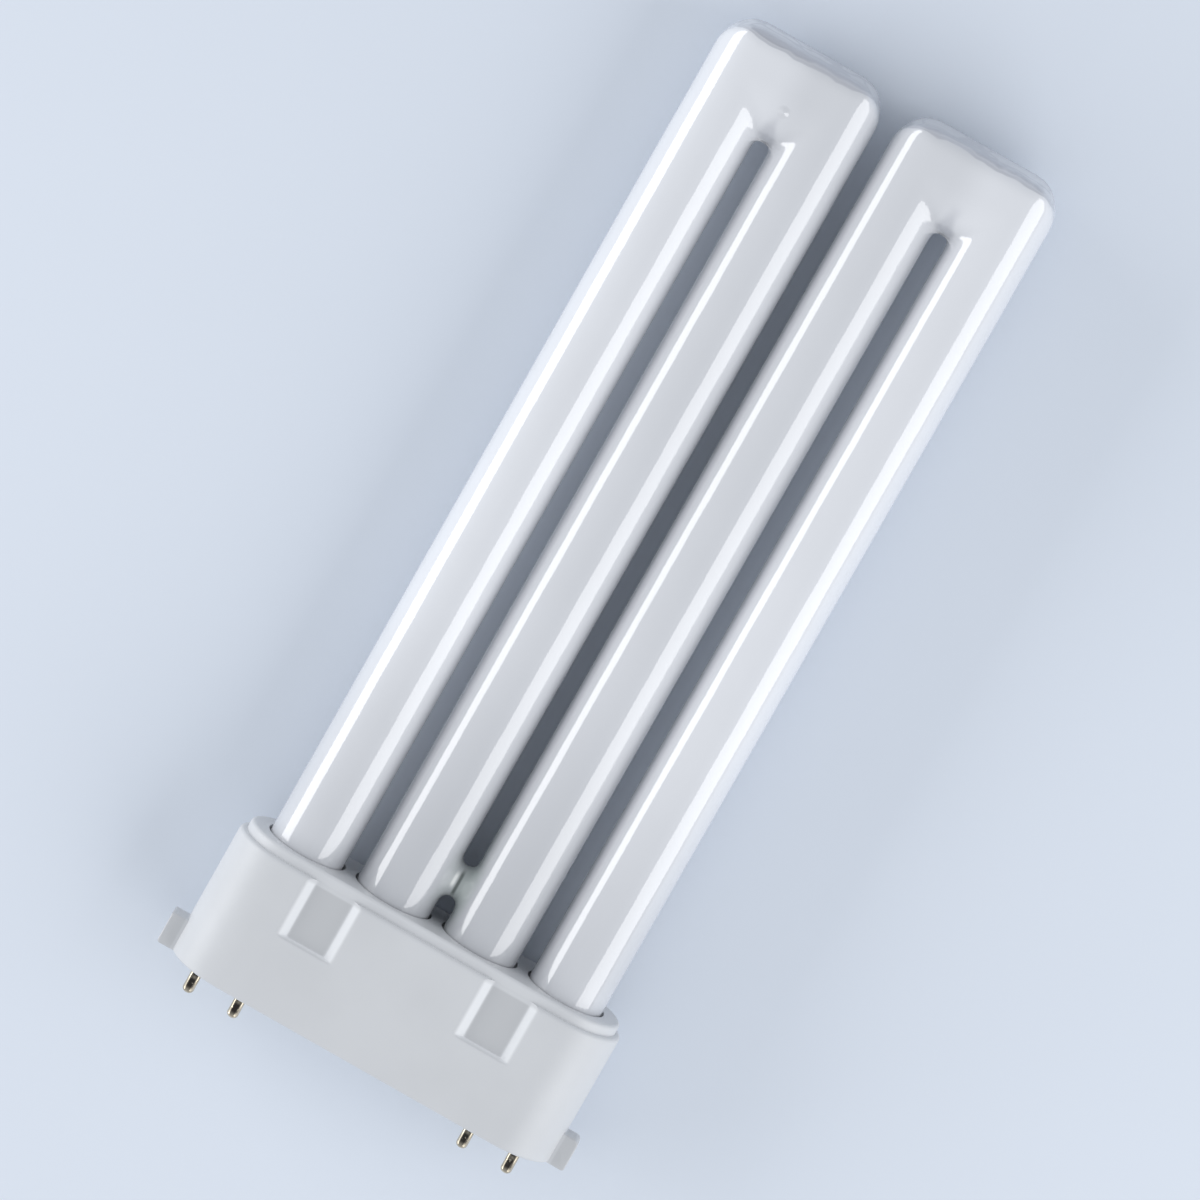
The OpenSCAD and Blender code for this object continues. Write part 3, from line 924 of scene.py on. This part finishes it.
def recess_depth(settings, x, y):
    """How deep a recess is at a place on a broad face."""
    slope = (settings.catch_w - settings.catch_floor_w) / 2
    across = (settings.catch_w / 2 - abs(abs(x) - settings.catch_x)) / slope
    if across < -1:
        return 0.0
    along = (y - (RIM_Y - settings.catch_h)) / FOOT_RUN
    depth = soft_clamp(across, SIDE_SOFT) * soft_clamp(along, FOOT_SOFT)
    return settings.catch_depth * max(0.0, depth - NO_DEPTH)


def shell_columns(settings, half_straight):
    """Spine point, direction and whether it is on a broad face, for each column of the shell."""
    faces = face_columns(settings, half_straight)
    columns = []
    for side in (1, -1):
        columns += [(x, 0.0, float(side), True) for x in faces[::side]]
        for step in range(1, END_COLUMNS):
            angle = side * math.pi / 2 - math.pi * step / END_COLUMNS
            columns.append((side * half_straight, math.cos(angle), math.sin(angle), False))
    return columns


def shell_levels(settings):
    """Height, inset and whether a recess cuts it, for each ring of the shell.

    They run outside from the foot to the rim, then inside down to the floor.
    """
    foot_r, rim_r = settings.foot_r, settings.rim_r
    levels = [(FOOT_Y, BASE_HALF_DEPTH, False), (FOOT_Y, FLAT_INSET, False)]
    levels += [
        (FOOT_Y + foot_r * (1 - math.cos(a)), foot_r * (1 - math.sin(a)), True)
        for a in arc_steps(FOOT_ARC)
    ]
    low, high = FOOT_Y + foot_r, RIM_Y - rim_r
    edge = RIM_Y - settings.catch_h
    straight = [low + (high - low) * i / SIDE_RINGS for i in range(1, SIDE_RINGS)]
    straight += [edge + i * EDGE_STEP for i in range(-EDGE_BELOW, EDGE_ABOVE)]
    levels += [(y, 0.0, True) for y in sorted(straight)]
    levels += [
        (high + rim_r * math.sin(a), rim_r * (1 - math.cos(a)), True)
        for a in arc_steps(RIM_ARC)
    ]
    levels += [(RIM_Y, settings.catch_depth + RIM_INSET, True)]
    inside = settings.wall
    levels += [(RIM_Y, inside, False), (RIM_Y - INSIDE_DROP, inside, False)]
    floor_y = FOOT_Y + settings.floor
    levels += [(floor_y, inside, False), (floor_y, BASE_HALF_DEPTH, False)]
    return levels


def shell_mesh(settings):
    """The moulded cup as rings round a stadium, with its recesses pressed in."""
    half_straight = SHELL_HIGH.x - settings.lug_out - BASE_HALF_DEPTH
    columns = shell_columns(settings, half_straight)
    rings = []
    for y, inset, cut in shell_levels(settings):
        ring = []
        for x, out_x, out_z, broad in columns:
            depth = recess_depth(settings, x, y) if cut and broad else 0.0
            reach = BASE_HALF_DEPTH - max(inset, depth)
            ring.append((x + out_x * reach, y, AXIS_Z + out_z * reach))
        rings.append(ring)
    return grid_mesh("shell_moulding", rings)


def bevel_edges(work, edges, radius, segments):
    """Rounds some edges of a mesh."""
    bmesh.ops.bevel(
        work, geom=edges, offset=radius, offset_type="OFFSET", segments=segments, profile=0.5,
        affect="EDGES",
    )


def add_lug(work, settings, side):
    """A rounded lug on one end of the shell, rooted inside its wall."""
    root = SHELL_HIGH.x - settings.lug_out - settings.wall / 2
    low = Vector((root, FOOT_Y, AXIS_Z - settings.lug_t / 2))
    high = Vector((SHELL_HIGH.x, FOOT_Y + settings.lug_h, AXIS_Z + settings.lug_t / 2))
    made = bmesh.ops.create_cube(work, size=1.0)["verts"]
    for vert in made:
        share = vert.co + Vector((0.5, 0.5, 0.5))
        place = Vector([low[i] + share[i] * (high[i] - low[i]) for i in range(3)])
        if share.x < 0.5 and share.y < 0.5:
            place.y += LUG_CLEAR
        vert.co = Vector((side * place.x, place.y, place.z))
    tip = side * SHELL_HIGH.x
    for level, radius in ((high.y, LUG_TOP_R), (low.y, LUG_FOOT_R)):
        corner = [
            e for e in work.edges
            if all(abs(v.co.x - tip) < TOUCH and abs(v.co.y - level) < TOUCH for v in e.verts)
        ]
        bevel_edges(work, corner, radius, segments=6)
    ridges = [
        e for e in work.edges
        if all(side * v.co.x > root - TOUCH and v.co.y < high.y + TOUCH for v in e.verts)
        and any(side * v.co.x > root + 0.1 * MM for v in e.verts)
        and e.calc_face_angle(0) > math.radians(40)
    ]
    bevel_edges(work, ridges, LUG_BEVEL, segments=3)


def add_lugs(mesh, settings):
    """Both lugs joined to the shell's mesh."""
    for side in (-1, 1):
        work = bmesh.new()
        add_lug(work, settings, side)
        bmesh.ops.recalc_face_normals(work, faces=work.faces)
        lug = bpy.data.meshes.new("lug")
        work.to_mesh(lug)
        work.free()
        both = bmesh.new()
        both.from_mesh(mesh)
        both.from_mesh(lug)
        both.to_mesh(mesh)
        both.free()
        bpy.data.meshes.remove(lug)


# Sides and rings of a turned pin
PIN_SIDES, PIN_RINGS = 48, 28
# A pin's hole: how deep it is modelled, the bevel at its mouth, and the flat round it
HOLE_DEPTH, HOLE_BEVEL, HOLE_LIP, HOLE_CLEAR = 1.0 * MM, 0.1 * MM, 0.06 * MM, 0.08 * MM
# The hidden foot of a pin: its shank, its flange and its narrow end
SHANK_STEP, FLANGE_FROM_END, FLANGE_T = 0.225 * MM, 1.5 * MM, 0.8 * MM
END_STEP, END_DEPTH = 0.4 * MM, 3 * MM
# Half length of a dent, and how narrow its two faces are
DENT_REACH, DENT_POWER = 0.75 * MM, 6


def pin_levels(settings, node):
    """Height and radius of each ring of a pin, from inside its tip to its inner end."""
    low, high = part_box(node)
    flange_r = (high.x - low.x) / 2
    tip, root = low.y, FOOT_Y
    tip_r, pin_r, hole_r = settings.tip_r, settings.pin_r, settings.hole_r
    levels = [(tip + HOLE_DEPTH, hole_r), (tip + HOLE_BEVEL, hole_r)]
    levels += [(tip, hole_r + HOLE_LIP)]
    levels += [
        (tip + tip_r * (1 - math.cos(a)), pin_r - tip_r + tip_r * math.sin(a))
        for a in arc_steps(TIP_ARC)
        if pin_r - tip_r + tip_r * math.sin(a) > hole_r + HOLE_CLEAR
    ]
    start = tip + tip_r
    levels += [(start + (root - start) * i / PIN_RINGS, pin_r) for i in range(1, PIN_RINGS + 1)]
    shank_r = pin_r + SHANK_STEP
    flange_y = high.y - FLANGE_FROM_END
    levels += [(root, shank_r), (flange_y, shank_r), (flange_y, flange_r)]
    levels += [(flange_y + FLANGE_T, flange_r), (flange_y + FLANGE_T, pin_r), (high.y, pin_r)]
    levels += [(high.y, pin_r - END_STEP), (high.y - END_DEPTH, pin_r - END_STEP)]
    return levels


def pin_mesh(settings, node):
    """A hollow pin turned about its axis, dented front and back where it grips its wire."""
    low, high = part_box(node)
    centre = Vector(((low.x + high.x) / 2, 0, (low.z + high.z) / 2))
    rings = []
    for y, radius in pin_levels(settings, node):
        along = math.exp(-(((y - DENT_Y) / DENT_REACH) ** 2))
        ring = []
        for step in range(PIN_SIDES):
            angle = 2 * math.pi * step / PIN_SIDES
            press = along * abs(math.sin(angle)) ** DENT_POWER
            reach = radius - (settings.dent * press if radius == settings.pin_r else 0)
            out = (math.cos(angle) * reach, math.sin(angle) * reach)
            ring.append((centre.x + out[0], y, centre.z + out[1]))
        rings.append(ring)
    return grid_mesh(node + "_turned", rings)


# Operators


class LAMP_OT_glass(bpy.types.Operator):
    """Build the coated glass vessel"""

    bl_idname = "lamp.glass"
    bl_label = "Glass vessel"

    def execute(self, context):
        settings = context.scene.lamp_glass
        mesh, skin = even_mesh("discharge_vessel", settings.cell)
        soften_glass(mesh, skin, settings)
        material = coated_glass_material(settings, COLLAR_Y + settings.bridge_rise)
        vessel = new_object("glass_vessel", mesh, material)
        stand_for(vessel, "coated_glass", "discharge_vessel")
        return {"FINISHED"}


class LAMP_OT_shell(bpy.types.Operator):
    """Build the moulded shell of the base"""

    bl_idname = "lamp.shell"
    bl_label = "Base shell"

    def execute(self, context):
        settings = context.scene.lamp_base
        mesh = shell_mesh(settings)
        add_lugs(mesh, settings)
        clean_mesh(mesh, sharp=math.radians(35))
        material = moulded_plastic_material("shell_plastic", settings, 1.0, recessed=True)
        shell = new_object("shell_moulding", mesh, material)
        stand_for(shell, "shell_plastic", "base_shell")
        return {"FINISHED"}


class LAMP_OT_holder(bpy.types.Operator):
    """Give the tube holder its plastic"""

    bl_idname = "lamp.holder"
    bl_label = "Tube holder"

    def execute(self, context):
        settings = context.scene.lamp_base
        dress("tube_holder", moulded_plastic_material("holder_plastic", settings, 1.02))
        return {"FINISHED"}


class LAMP_OT_pins(bpy.types.Operator):
    """Build the contact pins"""

    bl_idname = "lamp.pins"
    bl_label = "Contact pins"

    def execute(self, context):
        settings = context.scene.lamp_pins
        material = pin_metal_material(settings)
        for node in PIN_NODES:
            mesh = pin_mesh(settings, node)
            clean_mesh(mesh, sharp=math.radians(40))
            pin = new_object(node.replace("contact", "turned"), mesh, material)
            stand_for(pin, "pin_metal", node)
        return {"FINISHED"}


class LAMP_OT_inside(bpy.types.Operator):
    """Give the lead wires and the cement their finish"""

    bl_idname = "lamp.inside"
    bl_label = "Wires and cement"

    def execute(self, context):
        wire = wire_metal_material()
        cement = cement_material()
        for node in WIRE_NODES:
            dress(node, wire)
        for node in CEMENT_NODES:
            dress(node, cement)
        return {"FINISHED"}


# Middle of the picture on the lamp, and the place that the lights face
PICTURE_X, PICTURE_Y = -3.2 * MM, -2.6 * MM
LIGHT_TARGET = (0, -0.2, AXIS_Z)
# Half the side of the floor, and the tint and strength of the studio's air
FLOOR_HALF = 3.0
AIR_TINT, AIR_STRENGTH = (0.90, 0.94, 1.0), 0.6


def pose(place, across, along, back):
    """The matrix of a light or camera from its place and its three directions."""
    turn = Matrix((across, along, back)).transposed()
    return Matrix.Translation(place) @ turn.to_4x4()


def add_area_light(name, place, size, power):
    """A soft rectangular light, its long side along the lamp."""
    data = bpy.data.lights.new(name, "AREA")
    data.shape = "RECTANGLE"
    data.size, data.size_y = size
    data.energy = power
    back = (Vector(place) - Vector(LIGHT_TARGET)).normalized()
    across = Vector((0, 1, 0)).cross(back).normalized()
    along = back.cross(across)
    new_object(name, data).matrix_world = pose(Vector(place), across, along, back)


def add_camera(settings):
    """A long lens looking down on the lamp, leaning to its tips and rolled as the picture is."""
    lean = settings.tilt
    back = Vector((0, math.sin(lean), math.cos(lean)))
    up = Vector((0, math.cos(lean), -math.sin(lean)))
    side = up.cross(back)
    turned_up = math.cos(settings.roll) * up - math.sin(settings.roll) * side
    turned_side = math.cos(settings.roll) * side + math.sin(settings.roll) * up
    target = Vector((PICTURE_X, PICTURE_Y, AXIS_Z))
    data = bpy.data.cameras.new("studio_camera")
    data.sensor_width = 36
    data.lens = data.sensor_width * settings.distance / settings.view_width
    data.clip_end = 50
    camera = new_object("studio_camera", data)
    place = target + settings.distance * back
    camera.matrix_world = pose(place, turned_side, turned_up, back)
    bpy.context.scene.camera = camera


class LAMP_OT_stage(bpy.types.Operator):
    """Build the floor, the lights and the camera"""

    bl_idname = "lamp.stage"
    bl_label = "Stage"

    def execute(self, context):
        settings = context.scene.lamp_stage
        corners = [
            (x * FLOOR_HALF, y * FLOOR_HALF, 0) for x, y in ((-1, -1), (1, -1), (1, 1), (-1, 1))
        ]
        mesh = bpy.data.meshes.new("pale_floor")
        mesh.from_pydata(corners, [], [(0, 1, 2, 3)])
        floor = new_object("pale_floor", mesh, paper_material(settings))
        add_area_light("left_box", (-0.78, -0.2, 0.235), size=(0.42, 1.4), power=5.3)
        add_area_light("right_box", (0.80, -0.2, 0.46), size=(0.68, 1.4), power=5.6)
        world = bpy.data.worlds.new("studio_air")
        world.use_nodes = True
        background = world.node_tree.nodes["Background"]
        background.inputs["Color"].default_value = rgba(AIR_TINT)
        background.inputs["Strength"].default_value = AIR_STRENGTH
        context.scene.world = world
        context.scene.view_settings.view_transform = "Standard"
        add_camera(settings)
        return {"FINISHED"}


STEPS = ["glass", "shell", "holder", "pins", "inside", "stage"]


class LAMP_PT_panel(bpy.types.Panel):
    """Lists the steps that build the lamp"""

    bl_idname = "LAMP_PT_panel"
    bl_label = "Flat Fluorescent Lamp"
    bl_space_type = "VIEW_3D"
    bl_region_type = "UI"
    bl_category = "Lamp"

    def draw(self, context):
        for step in STEPS:
            self.layout.operator(f"lamp.{step}")


SETTINGS = {
    "lamp_glass": LampGlassSettings,
    "lamp_base": LampBaseSettings,
    "lamp_pins": LampPinSettings,
    "lamp_stage": LampStageSettings,
}
CLASSES = [
    *SETTINGS.values(), LAMP_OT_glass, LAMP_OT_shell, LAMP_OT_holder, LAMP_OT_pins,
    LAMP_OT_inside, LAMP_OT_stage, LAMP_PT_panel,
]


def register():
    """Adds the classes and the settings."""
    for each in CLASSES:
        bpy.utils.register_class(each)
    for name, group in SETTINGS.items():
        setattr(bpy.types.Scene, name, PointerProperty(type=group))


def unregister():
    """Takes the settings and the classes away."""
    for name in SETTINGS:
        delattr(bpy.types.Scene, name)
    for each in reversed(CLASSES):
        bpy.utils.unregister_class(each)


def main():
    """Builds the lamp and its stage."""
    register()
    for step in STEPS:
        getattr(bpy.ops.lamp, step)()


if __name__ == "__main__":
    main()
